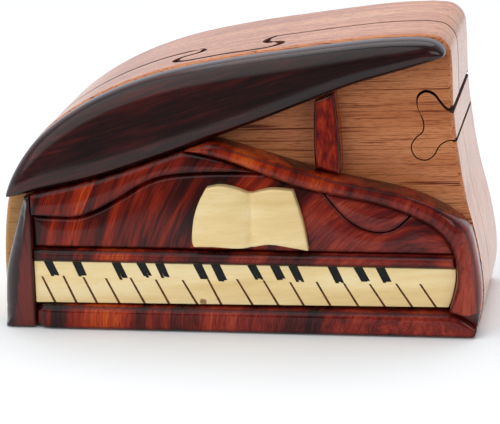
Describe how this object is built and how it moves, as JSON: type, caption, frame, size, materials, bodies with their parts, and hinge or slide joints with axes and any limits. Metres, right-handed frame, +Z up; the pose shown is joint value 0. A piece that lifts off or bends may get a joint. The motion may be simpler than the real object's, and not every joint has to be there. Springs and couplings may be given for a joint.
{
  "type": "wooden puzzle box",
  "caption": "Wooden puzzle box shaped as an open grand piano, with a jigsaw key that slides out and two hidden compartments.",
  "frame": {"origin": "centre of the bounding box, on the surface that the box stands on", "axes": "+X to the right as the keyboard is seen, +Y from the keyboard to the back, +Z up"},
  "size_m": [0.161, 0.0716, 0.0982],
  "materials": {
    "block_wood": "reddish brown open-grained wood, gloss lacquer",
    "dark_rosewood": "near-black rosewood, gloss lacquer",
    "red_rosewood": "deep red rosewood with dark streaks, gloss lacquer",
    "padauk": "bright red padauk, gloss lacquer",
    "boxwood": "pale cream wood, satin lacquer"
  },
  "bodies": {
    "box": {"rear_box": "block_wood", "back_panel": "block_wood", "front_slab": "block_wood", "lid": "dark_rosewood", "lid_prop": "padauk", "rim_rail": "red_rosewood", "left_shoulder": "red_rosewood", "music_desk": "red_rosewood", "rail_leaf": "red_rosewood", "nameboard": "red_rosewood", "keyboard": "boxwood", "key_slip": "red_rosewood", "left_cheek": "dark_rosewood", "music_book": "boxwood"},
    "key": {"puzzle_key": "block_wood"}
  },
  "joints": [
    {"name": "key_slide", "type": "slide", "parent": "box", "child": "key", "axis": [0, -1, 0], "range_m": [0, 0.06]}
  ]
}
